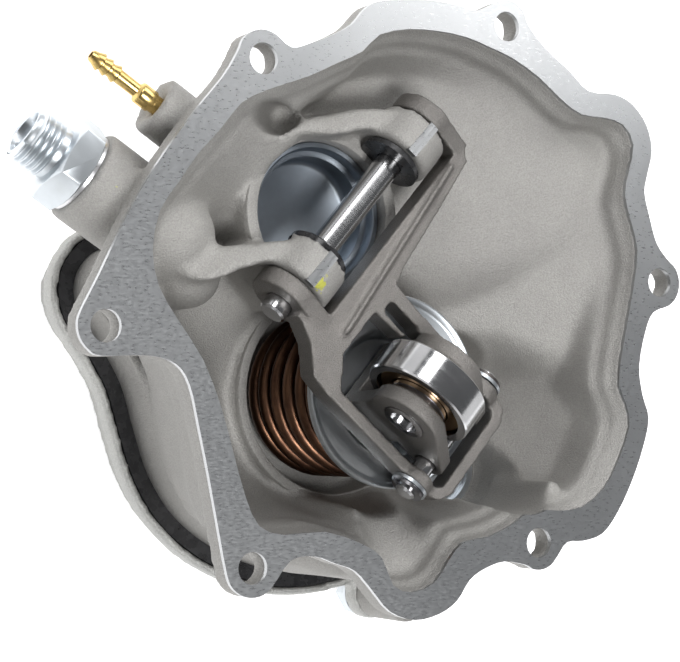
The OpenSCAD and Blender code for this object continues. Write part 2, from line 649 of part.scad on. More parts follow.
module inlet_valve_plate() {
    color("black") translate([lobe[0], lobe[1], inlet_plate_z])
        cylinder(r = inlet_chamber_r - 1, h = valve_plate_t);
}

module inlet_valve_spring() {
    color("gray") translate([lobe[0], lobe[1], piston_floor + seat_gap])
        coil(3.6, 0.6, inlet_plate_z - piston_floor - 2 * seat_gap, 3, 6, 12);
}

// Barbed hose nipple
module hose_nipple() {
    r = nipple_d / 2;
    barb = r + 0.55;
    color("goldenrod") port(nipple_face, nipple_depth) rotate_extrude()
        polygon([[0.8, -8], [r + 0.6, -8], [r + 0.6, 0.4], [r + 0.9, 0.4], [r + 0.9, 4.2],
            [r + 0.5, 4.6], [r, 4.6], [r, nipple_l - 7.6], [barb, nipple_l - 7.2],
            [r, nipple_l - 5.4], [r, nipple_l - 5.1], [barb, nipple_l - 4.9], [r, nipple_l - 3.4],
            [barb, nipple_l - 3.1], [r - 0.4, nipple_l], [0.8, nipple_l]]);
}

// Outlet valve under its cap
module outlet_valve_plate() {
    color("black") translate([valve_at[0], valve_at[1], valve_seat_z + seat_gap])
        cylinder(r = valve_r - 2.4, h = valve_plate_t);
}

module outlet_valve_spring() {
    foot = valve_seat_z + valve_plate_t + 2 * seat_gap;
    color("gray") translate([valve_at[0], valve_at[1], foot])
        coil(5, 0.6, cap_z - foot - seat_gap, 2.5, 6, 12);
}

module outlet_valve_cap() {
    color("lightgray") translate([valve_at[0], valve_at[1], cap_z]) difference() {
        cylinder(r = valve_r - 0.1, h = cap_t);
        for (a = [0:90:270]) rotate([0, 0, a]) translate([6.8, 0, -1]) cylinder(r = 1.4, h = 4);
    }
}

module outlet_snap_ring() {
    color("lightgray") translate([valve_at[0], valve_at[1], cap_z + cap_t + seat_gap]) difference() {
        ring(valve_r + 0.7, valve_r - 1.4, 1.1);
        rotate([0, 0, 25]) translate([valve_r - 3, -1.6, -1]) cube([6, 3.2, 3]);
    }
}

// Rocker
web_top = shaft_arm - ear_r - 0.7;
web_edge = [[-9.4, 41], [-7.6, 32.1], [-10, 26.7], [-15, 21.4], [-15.6, 16], [-15.6, -18],
    [-14.2, -21.6], [-11, -23.4], [10.4, -23.4], [13.4, -21.8], [14.6, -18], [14.8, 14],
    [15.4, 19], [20, 20], [30, 21], [41, 22.2], [50, 23.4], [upper_hub + hub_w, 27],
    [upper_hub + hub_w, 41], [upper_hub, 41], [upper_hub, web_top], [-1.9, web_top], [-1.9, 41]];

module loop_opening() {
    polygon([[loop_wall - 15.6, 13.8], [loop_wall - 15.6, -19], [loop_wall - 14.2, loop_wall - 23.4],
        [9.4, loop_wall - 23.4], [11, -19], [11, 8], [7, 10], [6.6, 19], [-6, 19]]);
    polygon([[8.2, 16.6], [9.2, 17.6], [10.6, 17.6], [11.6, 16.6], [11.6, 8], [10.2, 7.4], [8.2, 8.4]]);
}

module rocker_lever() {
    color("rosybrown") rocker_frame() difference() {
        union() {
            linear_extrude_z(cross_z - 4.2, cross_z - 4.2 + rocker_h) difference() {
                intersection() {
                    polygon(web_edge);
                    translate([-50, -50]) square([150, 50 + shaft_arm - 3]);
                }
                loop_opening();
            }
            for (x = [lower_hub, upper_hub]) {
                along_x(x, shaft_arm, shaft_z) cylinder(r = hub_r, h = hub_w);
                slab_x(x, hub_w) polygon([[shaft_arm, shaft_z - hub_r], [shaft_arm, shaft_z + hub_r],
                    [26, cross_z - 4.2 + rocker_h], [26, cross_z - 4.2]]);
            }
            // Eyes of the cross pin
            for (x = [-15.6, 11]) along_x(x, -cross_arm, cross_z)
                cylinder(r = 4.4, h = x < 0 ? loop_wall : 3.6);
            // Rib on the web
            linear_extrude_z(cross_z, cross_z - 4.2 + rocker_h + 1)
                polygon([[-3.4, 22.4], [-2.4, 21.4], [46, 25.6], [46, 26.8]]);
        }
        along_x(-40, shaft_arm, shaft_z) cylinder(r = shaft_d / 2, h = 120);
        along_x(-40, -cross_arm, cross_z) cylinder(r = cross_pin_d / 2, h = 80);
    }
}

shaft_proud = 3.2;

module pivot_shaft() {
    length = upper_hub + hub_w - lower_hub + shaft_proud + 0.3;
    color("silver") rocker_frame() along_x(lower_hub - shaft_proud, shaft_arm, shaft_z)
        rotate_extrude() polygon([[0, 0], [shaft_d / 2 - 0.5, 0], [shaft_d / 2, 0.5],
            [shaft_d / 2, length - 0.5], [shaft_d / 2 - 0.5, length], [0, length]]);
}

cross_from = -18.4;
cross_to = 17.6;

module cross_pin() {
    color("lightgray") rocker_frame() along_x(cross_from, -cross_arm, cross_z) rotate_extrude()
        polygon([[0, 0], [cross_pin_d / 2 - 0.5, 0], [cross_pin_d / 2, 0.5],
            [cross_pin_d / 2, cross_to - cross_from - 0.5],
            [cross_pin_d / 2 - 0.5, cross_to - cross_from], [0, cross_to - cross_from]]);
}

module cross_pin_washers() {
    color("silver") rocker_frame() for (x = [-16.5, 14.7])
        along_x(x, -cross_arm, cross_z) ring(4.4, cross_pin_d / 2 + seat_gap, 0.8);
}

module cross_pin_clips() {
    color("dimgray") rocker_frame() for (x = [-17.4, 15.6])
        along_x(x, -cross_arm, cross_z) difference() {
            ring(3.9, cross_pin_d / 2, 0.8);
            translate([-1.5, 0, -1]) cube([3, 8, 3]);
        }
}

// Fork of the roller
module cheek_2d() {
    link_2d([0, roller_z], cheek_hub_r, [-cross_arm, cross_z], cheek_eye_r);
    polygon([[-6.5, fork_base_z], [6.5, fork_base_z], [7.6, roller_z], [-7.6, roller_z]]);
}

module roller_fork() {
    color("rosybrown") rocker_frame() difference() {
        union() {
            for (x = [-cheek_out, cheek_in]) slab_x(x, cheek_t) cheek_2d();
            linear_extrude_z(fork_base_z, fork_base_z + fork_base_t)
                translate([-cheek_out, -6.5]) square([2 * cheek_out, 13]);
        }
        along_x(-20, 0, roller_z) cylinder(d = roller_bore, h = 40);
        along_x(-20, -cross_arm, cross_z) cylinder(r = cross_pin_d / 2 + cross_gap, h = 40);
        translate([0, 0, fork_base_z - 1]) cylinder(r = rod_d / 2 - 1, h = 10);
    }
}

module roller_pin() {
    color("silver") rocker_frame() along_x(-cheek_out - 0.2, 0, roller_z) difference() {
        cylinder(d = roller_bore - 0.04, h = 2 * cheek_out + 0.4);
        translate([0, 0, -1]) cylinder(d = roller_bore - 3.4, h = 2.4);
        translate([0, 0, -1]) cylinder(d = 3, h = 5);
    }
}

module roller_spacers() {
    color("dimgray") rocker_frame() for (x = [-cheek_in, roller_w / 2])
        along_x(x, 0, roller_z) ring(inner_race_r - 0.2, roller_bore / 2 + 0.02, inner_gap);
}

module race(outer, inner, groove_r) {
    rotate_extrude() difference() {
        translate([inner, 0]) square([outer - inner, roller_w]);
        translate([ball_ring_r, roller_w / 2]) circle(r = groove_r);
        for (y = [0, roller_w]) translate([outer == roller_d / 2 ? outer : inner, y])
            rotate(45) square(0.5, center = true);
    }
}

module bearing_inner_ring() {
    color("lightgray") rocker_frame() along_x(-roller_w / 2, 0, roller_z)
        race(inner_race_r, roller_bore / 2 + 0.02, ball_d / 2 + 0.04);
}

module bearing_outer_ring() {
    color("lightgray") rocker_frame() along_x(-roller_w / 2, 0, roller_z)
        race(roller_d / 2, outer_race_r, ball_d / 2 + 0.04);
}

module bearing_balls() {
    color("silver") rocker_frame() translate([0, 0, roller_z])
        for (i = [0:ball_count - 1]) rotate([360 * i / ball_count, 0, 0])
            translate([0, 0, ball_ring_r]) sphere(d = ball_d);
}

module bearing_cage() {
    color("chocolate") rocker_frame() along_x(-roller_w / 2 + 1, 0, roller_z) difference() {
        ring(outer_race_r - 0.5, inner_race_r + 0.3, roller_w - 2);
        for (i = [0:ball_count - 1]) rotate([0, 0, 180 + 360 * i / ball_count])
            translate([ball_ring_r, 0, roller_w / 2 - 1]) sphere(d = ball_d + 0.1);
    }
}

// Rod, retainer and piston
module piston_rod() {
    color("silver") rotate_extrude() polygon([[0, piston_z + 0.3], [2.9, piston_z + 0.3],
        [3, piston_z + piston_t], [rod_d / 2, piston_z + piston_t],
        [rod_d / 2, retainer_base_z], [rod_d / 2 - 1, retainer_base_z],
        [rod_d / 2 - 1, fork_base_z + fork_base_t], [0, fork_base_z + fork_base_t]]);
}

module spring_retainer() {
    rim = retainer_d / 2;
    t = retainer_t;
    base = retainer_base_z;
    top = retainer_z;
    color("lightsteelblue") rotate_extrude() polygon([[rod_d / 2 - 0.98, base], [12.8, base],
        [15.6, top - t], [rim - 1, top - t], [rim, top - t + 0.8], [rim, top + 0.8], [rim - 0.8, top + 1],
        [rim - 1.6, top], [14.8, top], [12, base + t], [rod_d / 2 - 0.98, base + t]]);
}

module return_spring() {
    color("sienna") translate([0, 0, bore_floor_z]) coil(spring_r, wire_d, spring_seat_z - bore_floor_z,
        spring_turns, 10, 22);
}

module piston() {
    r = cylinder_d / 2 - piston_gap;
    color("silver") translate([0, 0, piston_z]) rotate_extrude()
        polygon([[3.05, nut_recess], [9.6, nut_recess], [10, 0], [r, 0], [r, piston_t / 2 - ring_h / 2],
            [r - 3, piston_t / 2 - ring_h / 2], [r - 3, piston_t / 2 + ring_h / 2],
            [r, piston_t / 2 + ring_h / 2], [r, piston_t], [3.05, piston_t]]);
}

module piston_ring() {
    color("black") translate([0, 0, piston_z + piston_t / 2 - ring_h / 2 + seat_gap]) difference() {
        ring(cylinder_d / 2 - 0.06, cylinder_d / 2 - piston_gap - 2.8, ring_h - 2 * seat_gap);
        translate([cylinder_d / 2 - 5, -0.3, -1]) cube([8, 0.6, ring_h + 2]);
    }
}

module piston_washer() {
    color("silver") translate([0, 0, piston_z + nut_recess - 1]) ring(8.5, 3.05, 1);
}

module piston_nut() {
    color("silver") translate([0, 0, piston_z + 0.4]) difference() {
        cylinder(d = 10 * 2 / sqrt(3), h = nut_recess - 1.4, $fn = 6);
        translate([0, 0, -1]) cylinder(r = 3, h = 7);
    }
}

housing();
cover();
cover_seal();
cover_screws();
core_plug();
shaft_bushes();
shaft_seals();
rod_bush();
rod_seal();
union_fitting();
union_washer();
inlet_valve_seat();
inlet_valve_plate();
inlet_valve_spring();
hose_nipple();
outlet_valve_plate();
outlet_valve_spring();
outlet_valve_cap();
outlet_snap_ring();
rocker_lever();
pivot_shaft();
cross_pin();
cross_pin_washers();
cross_pin_clips();
roller_fork();
roller_pin();
roller_spacers();
bearing_inner_ring();
bearing_balls();
bearing_cage();
bearing_outer_ring();
piston_rod();
spring_retainer();
return_spring();
piston();
piston_ring();
piston_washer();
piston_nut();
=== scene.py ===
# A cam-driven piston vacuum pump: cast housing, rocker, cam roller, return spring and fittings.

import math

import bpy
from mathutils import Matrix, Vector


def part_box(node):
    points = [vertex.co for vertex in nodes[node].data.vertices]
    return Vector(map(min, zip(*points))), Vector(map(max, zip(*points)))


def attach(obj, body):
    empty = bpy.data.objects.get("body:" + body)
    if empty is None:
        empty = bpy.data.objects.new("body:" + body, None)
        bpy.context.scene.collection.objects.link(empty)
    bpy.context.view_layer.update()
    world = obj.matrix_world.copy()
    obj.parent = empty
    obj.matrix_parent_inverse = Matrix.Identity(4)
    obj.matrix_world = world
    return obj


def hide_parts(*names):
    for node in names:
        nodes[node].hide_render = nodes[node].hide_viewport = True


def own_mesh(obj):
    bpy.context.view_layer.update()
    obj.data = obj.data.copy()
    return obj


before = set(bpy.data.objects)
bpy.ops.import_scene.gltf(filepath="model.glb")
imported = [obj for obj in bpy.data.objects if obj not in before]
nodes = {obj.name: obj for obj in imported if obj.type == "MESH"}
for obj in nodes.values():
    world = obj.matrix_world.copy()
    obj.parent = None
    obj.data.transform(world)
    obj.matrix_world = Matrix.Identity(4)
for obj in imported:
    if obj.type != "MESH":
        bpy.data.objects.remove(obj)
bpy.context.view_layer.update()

MM = 0.001

# Height of the flange face, and the turns of the rocker's shaft and of the fittings
FLANGE_Z = 0.070
SHAFT_TURN = math.radians(49)
PORT_TURN = math.radians(148)

# Places on the housing, in millimetres from the piston axis
PLUG_AT = (-17.5, 40.3)
VALVE_AT = (31.7, -18.4)
POCKET_AT = (26, 0.4)
UNION_AT = (-74.3, 46.2)
NIPPLE_AT = (-59.2, 62.1)

# Depths of the fittings' axes under the flange face
UNION_DEPTH = 18
NIPPLE_DEPTH = 14

# Height of the spring bore's rim, and the radii just outside the bore and the pocket beside it
RIM_TOP = 34
BORE_R = 24.04
POCKET_R = 15.05


# Camera, at the photograph's viewing angle

def look_from(place, along, up):
    back = -Vector(along).normalized()
    right = Vector(up).cross(back).normalized()
    top = back.cross(right)
    turned = Matrix((right, top, back)).transposed().to_4x4()
    return Matrix.Translation(place) @ turned


CAMERA_PLACE = (-0.2433, -0.0091, 0.3696 + FLANGE_Z)
CAMERA_ALONG = (0.516, 0.051, -0.855)
CAMERA_UP = (-0.026, 0.999, 0.044)

camera_data = bpy.data.cameras.new("camera")
camera_data.lens = 103.9
camera_data.sensor_width = 36
camera_data.clip_start = 0.01
camera = bpy.data.objects.new("camera", camera_data)
camera.matrix_world = look_from(CAMERA_PLACE, CAMERA_ALONG, CAMERA_UP)
bpy.context.scene.collection.objects.link(camera)
bpy.context.scene.camera = camera


# Node materials

def start_material(name):
    material = bpy.data.materials.new(name)
    material.use_nodes = True
    tree = material.node_tree
    shader = tree.nodes["Principled BSDF"]
    place = tree.nodes.new("ShaderNodeTexCoord").outputs["Object"]
    return material, tree, shader, place


def join(tree, source, target):
    tree.links.new(source, target)


def noise(tree, place, scale, detail=3.0, roughness=0.55, stretch=None):
    if stretch:
        mapping = tree.nodes.new("ShaderNodeMapping")
        mapping.inputs["Scale"].default_value = stretch
        join(tree, place, mapping.inputs["Vector"])
        place = mapping.outputs["Vector"]
    texture = tree.nodes.new("ShaderNodeTexNoise")
    texture.inputs["Scale"].default_value = scale
    texture.inputs["Detail"].default_value = detail
    texture.inputs["Roughness"].default_value = roughness
    join(tree, place, texture.inputs["Vector"])
    return texture.outputs["Fac"]


def spread(tree, value, low, high, to_low, to_high):
    ramp = tree.nodes.new("ShaderNodeMapRange")
    ramp.inputs["From Min"].default_value = low
    ramp.inputs["From Max"].default_value = high
    ramp.inputs["To Min"].default_value = to_low
    ramp.inputs["To Max"].default_value = to_high
    join(tree, value, ramp.inputs["Value"])
    return ramp.outputs["Result"]


def blend_colours(tree, share, first, second):
    mix = tree.nodes.new("ShaderNodeMix")
    mix.data_type = "RGBA"
    for socket, colour in ((mix.inputs["A"], first), (mix.inputs["B"], second)):
        if isinstance(colour, tuple):
            socket.default_value = (*colour, 1)
        else:
            join(tree, colour, socket)
    join(tree, share, mix.inputs["Factor"])
    return mix.outputs["Result"]


def multiply(tree, first, second):
    product = tree.nodes.new("ShaderNodeMath")
    product.operation = "MULTIPLY"
    join(tree, first, product.inputs[0])
    if isinstance(second, float):
        product.inputs[1].default_value = second
    else:
        join(tree, second, product.inputs[1])
    return product.outputs["Value"]


def add_bump(tree, shader, height, strength, distance):
    bump = tree.nodes.new("ShaderNodeBump")
    bump.inputs["Strength"].default_value = strength
    bump.inputs["Distance"].default_value = distance
    join(tree, height, bump.inputs["Height"])
    earlier = shader.inputs["Normal"]
    if earlier.is_linked:
        join(tree, earlier.links[0].from_socket, bump.inputs["Normal"])
    join(tree, bump.outputs["Normal"], earlier)


def spot(tree, place, centre, radius, ragged):
    """1 inside a dab with a ragged edge, round a point."""
    shift = tree.nodes.new("ShaderNodeVectorMath")
    shift.operation = "SUBTRACT"
    join(tree, place, shift.inputs[0])
    shift.inputs[1].default_value = centre
    length = tree.nodes.new("ShaderNodeVectorMath")
    length.operation = "LENGTH"
    join(tree, shift.outputs["Vector"], length.inputs[0])
    wobble = spread(tree, noise(tree, place, 900, 3.0), 0.3, 0.7, -ragged, ragged)
    total = tree.nodes.new("ShaderNodeMath")
    total.operation = "ADD"
    join(tree, length.outputs["Value"], total.inputs[0])
    join(tree, wobble, total.inputs[1])
    return spread(tree, total.outputs["Value"], radius, radius * 0.7, 0.0, 1.0)


def cast_metal(name, dark, light, roughness, grain, metallic=0.85, dabs=()):
    """Blasted casting: cloudy tone, fine grain and a slightly uneven skin."""
    material, tree, shader, place = start_material(name)
    clouds = noise(tree, place, 45, 4.0, 0.6)
    grains = noise(tree, place, grain, 2.0, 0.7)
    speckle = spread(tree, grains, 0.35, 0.65, 0.0, 1.0)
    tone = blend_colours(tree, spread(tree, clouds, 0.3, 0.7, 0.0, 1.0), dark, light)
    colour = blend_colours(tree, multiply(tree, speckle, 0.34), tone, tuple(c * 0.45 for c in dark))
    for centre, radius in dabs:
        share = spot(tree, place, centre, radius, radius * 0.45)
        colour = blend_colours(tree, multiply(tree, share, 0.8), colour, (0.62, 0.62, 0.05))
    join(tree, colour, shader.inputs["Base Color"])
    shader.inputs["Metallic"].default_value = metallic
    join(tree, spread(tree, clouds, 0.3, 0.7, roughness - 0.06, roughness + 0.07),
         shader.inputs["Roughness"])
    add_bump(tree, shader, noise(tree, place, 160, 3.0), 0.25, 0.0006)
    add_bump(tree, shader, grains, 0.8, 0.0003)
    return material


def machined_metal(name, dark, light, roughness, marks=2500.0):
    """A milled face: flat sheen with hair lines, small nicks and pores."""
    material, tree, shader, place = start_material(name)
    clouds = noise(tree, place, 26, 3.0, 0.5)
    tone = blend_colours(tree, spread(tree, clouds, 0.3, 0.7, 0.0, 1.0), dark, light)
    pores = noise(tree, place, 700, 2.0, 0.5)
    pore_share = spread(tree, pores, 0.74, 0.8, 0.0, 1.0)
    colour = blend_colours(tree, multiply(tree, pore_share, 0.4), tone, (0.15, 0.15, 0.15))
    join(tree, colour, shader.inputs["Base Color"])
    shader.inputs["Metallic"].default_value = 0.9
    hair = noise(tree, place, marks, 2.0, 0.6, stretch=(0.3, 1.0, 1.0))
    join(tree, spread(tree, hair, 0.3, 0.7, roughness - 0.05, roughness + 0.08),
         shader.inputs["Roughness"])
    add_bump(tree, shader, hair, 0.08, 0.00005)
    add_bump(tree, shader, pore_share, -0.5, 0.0002)
    return material


def plated_metal(name, colour, stain, roughness, mottle=120.0):
    """Zinc plating or plain steel with faint stains."""
    material, tree, shader, place = start_material(name)
    clouds = noise(tree, place, mottle, 4.0, 0.6)
    share = spread(tree, clouds, 0.42, 0.75, 0.0, 1.0)
    tone = blend_colours(tree, share, colour, stain)
    join(tree, tone, shader.inputs["Base Color"])
    shader.inputs["Metallic"].default_value = 1.0
    join(tree, spread(tree, clouds, 0.3, 0.7, roughness - 0.05, roughness + 0.1),
         shader.inputs["Roughness"])
    add_bump(tree, shader, noise(tree, place, 1500, 2.0), 0.08, 0.0001)
    return material


def ground_steel(name, colour, roughness, axis):
    """Ground or polished steel, with fine lines round its axis."""
    material, tree, shader, place = start_material(name)
    turn = tree.nodes.new("ShaderNodeMapping")
    turn.vector_type = "POINT"
    turn.inputs["Rotation"].default_value = (0, 0, -axis)
    join(tree, place, turn.inputs["Vector"])
    lines = noise(tree, turn.outputs["Vector"], 3000, 2.0, 0.5, stretch=(1.0, 0.02, 0.02))
    smear = noise(tree, place, 90, 3.0)
    tone = blend_colours(tree, spread(tree, smear, 0.35, 0.7, 0.0, 1.0), colour,
                         tuple(c * 0.82 for c in colour))
    join(tree, tone, shader.inputs["Base Color"])
    shader.inputs["Metallic"].default_value = 1.0
    join(tree, spread(tree, lines, 0.3, 0.7, roughness - 0.03, roughness + 0.05),
         shader.inputs["Roughness"])
    add_bump(tree, shader, lines, 0.05, 0.00005)
    return material


def moulded_rubber(name):
    material, tree, shader, place = start_material(name)
    film = noise(tree, place, 300, 3.0)
    tone = blend_colours(tree, spread(tree, film, 0.3, 0.7, 0.0, 1.0), (0.012, 0.012, 0.013),
                         (0.03, 0.03, 0.032))
    join(tree, tone, shader.inputs["Base Color"])
    join(tree, spread(tree, film, 0.3, 0.7, 0.18, 0.36), shader.inputs["Roughness"])
    add_bump(tree, shader, film, 0.1, 0.0002)
    return material


HUB_DAB = (Vector((-0.0262, 0.0232, FLANGE_Z + 0.0015)), 0.0021)
BOSS_DAB = (Vector((-0.0705, 0.0420, FLANGE_Z - 0.0085)), 0.0013)

casting = cast_metal("casting", (0.37, 0.36, 0.345), (0.45, 0.44, 0.42), 0.58, 2600,
                     metallic=0.5, dabs=(HUB_DAB, BOSS_DAB))
cover_casting = cast_metal("cover_casting", (0.46, 0.46, 0.445), (0.56, 0.56, 0.54), 0.48, 2400,
                           metallic=0.7)
milled = machined_metal("milled", (0.47, 0.48, 0.49), (0.56, 0.57, 0.58), 0.31)
lever_casting = cast_metal("lever_casting", (0.20, 0.19, 0.18), (0.29, 0.275, 0.26), 0.42, 3200,
                           metallic=0.85)
zinc = plated_metal("zinc", (0.66, 0.70, 0.74), (0.56, 0.59, 0.61), 0.3, 60.0)
dark_zinc = plated_metal("dark_zinc", (0.33, 0.37, 0.42), (0.24, 0.26, 0.28), 0.34, 60.0)
clip_steel = plated_metal("clip_steel", (0.20, 0.20, 0.21), (0.12, 0.10, 0.09), 0.3)
brass = plated_metal("brass", (0.72, 0.52, 0.20), (0.55, 0.38, 0.13), 0.24)
bronze = plated_metal("bronze", (0.42, 0.27, 0.14), (0.30, 0.18, 0.09), 0.34)
# Spring steel is a dark copper, and its colour is darkened further as painted shade of the spring
# bore it sits in
spring_steel = plated_metal("spring_steel", (0.17, 0.09, 0.055), (0.09, 0.045, 0.03), 0.32, 220.0)
roller_steel = ground_steel("roller_steel", (0.66, 0.66, 0.67), 0.15, SHAFT_TURN)
pin_steel = ground_steel("pin_steel", (0.60, 0.60, 0.61), 0.2, SHAFT_TURN)
rod_steel = ground_steel("rod_steel", (0.62, 0.62, 0.63), 0.2, 0.0)
turned_alloy = machined_metal("turned_alloy", (0.60, 0.60, 0.61), (0.70, 0.70, 0.71), 0.3)
rubber = moulded_rubber("rubber")


# Modelling helpers

def deselect_all():
    if bpy.context.object and bpy.context.object.mode != "OBJECT":
        bpy.ops.object.mode_set(mode="OBJECT")
    bpy.ops.object.select_all(action="DESELECT")


def only(piece):
    deselect_all()
    piece.select_set(True)
    bpy.context.view_layer.objects.active = piece


def apply_modifiers(piece):
    only(piece)
    for modifier in list(piece.modifiers):
        bpy.ops.object.modifier_apply(modifier=modifier.name)


def settle(piece):
    """Puts the piece's place into its mesh."""
    only(piece)
    bpy.ops.object.transform_apply(location=True, rotation=True, scale=True)


def shade(piece, degrees=35):
    only(piece)
    bpy.ops.object.shade_smooth_by_angle(angle=math.radians(degrees))


def dress(piece, material, body, slot, *stands_for):
    piece.data.materials.clear()
    piece.data.materials.append(material)
    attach(piece, body)
    if stands_for:
        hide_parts(*stands_for)
    return piece


def merged_copy(node, name):
    """A welded copy of a CAD node's mesh."""
    piece = nodes[node].copy()
    piece.data = nodes[node].data.copy()
    piece.name = name
    for key in list(piece.keys()):
        del piece[key]
    piece.parent = None
    bpy.context.scene.collection.objects.link(piece)
    piece.hide_viewport = False
    piece.hide_render = False
    piece.hide_set(False)
    only(piece)
    bpy.ops.object.mode_set(mode="EDIT")
    bpy.ops.mesh.select_all(action="SELECT")
    bpy.ops.mesh.remove_doubles(threshold=1e-6)
    bpy.ops.object.mode_set(mode="OBJECT")
    return piece


def join_pieces(piece, *others):
    only(piece)
    for other in others:
        other.select_set(True)
    bpy.ops.object.join()


def cast_skin(node, name, voxel, passes, strength=0.5, added=()):
    """A casting's soft-edged skin over the CAD node's shape and what is cast on to it."""
    piece = merged_copy(node, name)
    if added:
        join_pieces(piece, *added)
    remesh = piece.modifiers.new("skin", "REMESH")
    remesh.mode = "VOXEL"
    remesh.voxel_size = voxel
    remesh.use_smooth_shade = True
    soften = piece.modifiers.new("soften", "SMOOTH")
    soften.factor = strength
    soften.iterations = passes
    apply_modifiers(piece)
    return piece


def pick(piece, test, mode="FACE"):
    """Edit mode with the faces selected whose centre and normal pass the test."""
    only(piece)
    for polygon in piece.data.polygons:
        polygon.select = test(polygon.center, polygon.normal)
    for edge in piece.data.edges:
        edge.select = False
    for vertex in piece.data.vertices:
        vertex.select = False
    for polygon in piece.data.polygons:
        if polygon.select:
            for index in polygon.vertices:
                piece.data.vertices[index].select = True
    bpy.ops.object.mode_set(mode="EDIT")
    bpy.ops.mesh.select_mode(type=mode)


def outward():
    """Merges doubles and turns all faces outwards, in edit mode."""
    bpy.ops.mesh.select_all(action="SELECT")
    bpy.ops.mesh.remove_doubles(threshold=2e-6)
    bpy.ops.mesh.normals_make_consistent(inside=False)
    bpy.ops.object.mode_set(mode="OBJECT")


def round_edges(piece, width, segments=2, degrees=30):
    bevel = piece.modifiers.new("edges", "BEVEL")
    bevel.width = width
    bevel.segments = segments
    bevel.limit_method = "ANGLE"
    bevel.angle_limit = math.radians(degrees)
    apply_modifiers(piece)


def turned(name, profile, steps=72):
    """A piece spun round Z from the radius and height of its corners, in millimetres."""
    deselect_all()
    radius, height = profile[0]
    bpy.ops.mesh.primitive_circle_add(vertices=3, radius=MM,
                                      location=(radius * MM, 0, height * MM))
    piece = bpy.context.object
    piece.name = name
    settle(piece)
    bpy.ops.object.mode_set(mode="EDIT")
    bpy.ops.mesh.select_mode(type="VERT")
    bpy.ops.mesh.select_all(action="SELECT")
    bpy.ops.mesh.merge(type="CENTER")
    for radius_to, height_to in profile[1:]:
        bpy.ops.mesh.extrude_vertices_move(TRANSFORM_OT_translate={
            "value": ((radius_to - radius) * MM, 0, (height_to - height) * MM)})
        radius, height = radius_to, height_to
    bpy.ops.mesh.select_all(action="SELECT")
    bpy.ops.mesh.spin(steps=steps, angle=math.tau, center=(0, 0, 0), axis=(0, 0, 1))
    outward()
    return piece


def put(piece, place):
    """Moves a piece that was modelled at the origin to its place."""
    piece.matrix_world = place
    settle(piece)


def wound(name, section, turns, rise, steps):
    """A section in the XZ plane wound round Z, closed at both ends."""
    deselect_all()
    bpy.ops.mesh.primitive_circle_add(vertices=len(section), radius=MM)
    piece = bpy.context.object
    piece.name = name
    for vertex, (radius, height) in zip(piece.data.vertices, section):
        vertex.co = (radius * MM, 0, height * MM)
    winding = piece.modifiers.new("winding", "SCREW")
    winding.angle = math.tau * turns
    winding.screw_offset = rise * MM
    winding.steps = steps
    winding.render_steps = steps
    winding.use_merge_vertices = False
    apply_modifiers(piece)
    bpy.ops.object.mode_set(mode="EDIT")
    bpy.ops.mesh.select_all(action="SELECT")
    bpy.ops.mesh.fill_holes(sides=0)
    outward()
    return piece


def extruded(name, outline, low, high):
    """An outline drawn on the XY plane and extruded from one height to another."""
    deselect_all()
    bpy.ops.mesh.primitive_circle_add(vertices=len(outline), radius=MM)
    piece = bpy.context.object
    piece.name = name
    for vertex, (x, y) in zip(piece.data.vertices, outline):
        vertex.co = (x * MM, y * MM, low * MM)
    bpy.ops.object.mode_set(mode="EDIT")
    bpy.ops.mesh.select_all(action="SELECT")
    bpy.ops.mesh.extrude_region_move(TRANSFORM_OT_translate={"value": (0, 0, (high - low) * MM)})
    bpy.ops.mesh.select_all(action="SELECT")
    bpy.ops.mesh.fill_holes(sides=0)
    outward()
    return piece


def wound_spring(name, foot, mean_r, wire, length, turns, sides=12, per_turn=40):
    """A coil spring with one closed turn at each end, wound wide and then pressed to its pitch."""
    total = turns + 2
    wide = 10
    rise = length - wire
    closed = wire * 1.03
    section = [(mean_r + wire / 2 * math.cos(math.tau * k / sides),
                wire / 2 + wire / 2 * math.sin(math.tau * k / sides)) for k in range(sides)]
    piece = wound(name, section, total, total * wide, int(total * per_turn))

    def lift(t):
        if t < 1:
            return closed * t
        if t > total - 1:
            return rise - closed * (total - t)
        return closed + (rise - 2 * closed) * (t - 1) / turns

    for vertex in piece.data.vertices:
        angle = math.atan2(vertex.co.y, vertex.co.x) / math.tau
        height = vertex.co.z / MM - wire / 2
        t = round(height / wide - angle) + angle
        t = min(max(t, 0), total)
        vertex.co.z = (wire / 2 + lift(t) + height - wide * t) * MM
    put(piece, Matrix.Translation(foot))
    shade(piece, 60)
    return piece


def at(place, height=0):
    """A move to a place on the housing."""
    return Matrix.Translation((place[0] * MM, place[1] * MM, height * MM))


def port_place(place, depth):
    """Where a fitting sits: Z points out of the housing's side."""
    return (at(place, FLANGE_Z / MM - depth)
            @ Matrix.Rotation(PORT_TURN, 4, "Z") @ Matrix.Rotation(math.pi / 2, 4, "Y"))


# Walls that close the housing's shell, fitted to its surface

# How far the walls stay under the surface, their foot, and the heights that rays start at
COVERED = 0.3
WALL_FOOT = 30
UNDER_FLANGE = FLANGE_Z - 3.5 * MM
MOUTH_Z = FLANGE_Z - 6 * MM


def polar(radius, degrees):
    return radius * math.cos(math.radians(degrees)), radius * math.sin(math.radians(degrees))


def bowl_height(x, y):
    """Height of the housing's surface under a place in the bowl, in millimetres."""
    start = Vector((x * MM, y * MM, UNDER_FLANGE))
    found, point = nodes["housing"].ray_cast(start, Vector((0, 0, -1)))[:2]
    return point.z / MM if found else RIM_TOP


def mouth_radius(degrees):
    """Distance from the piston axis to the bowl's wall, a little under the flange."""
    ahead = Vector((*polar(1, degrees), 0))
    point = nodes["housing"].ray_cast(Vector((0, 0, MOUTH_Z)), ahead)[1]
    return math.hypot(point.x, point.y) / MM


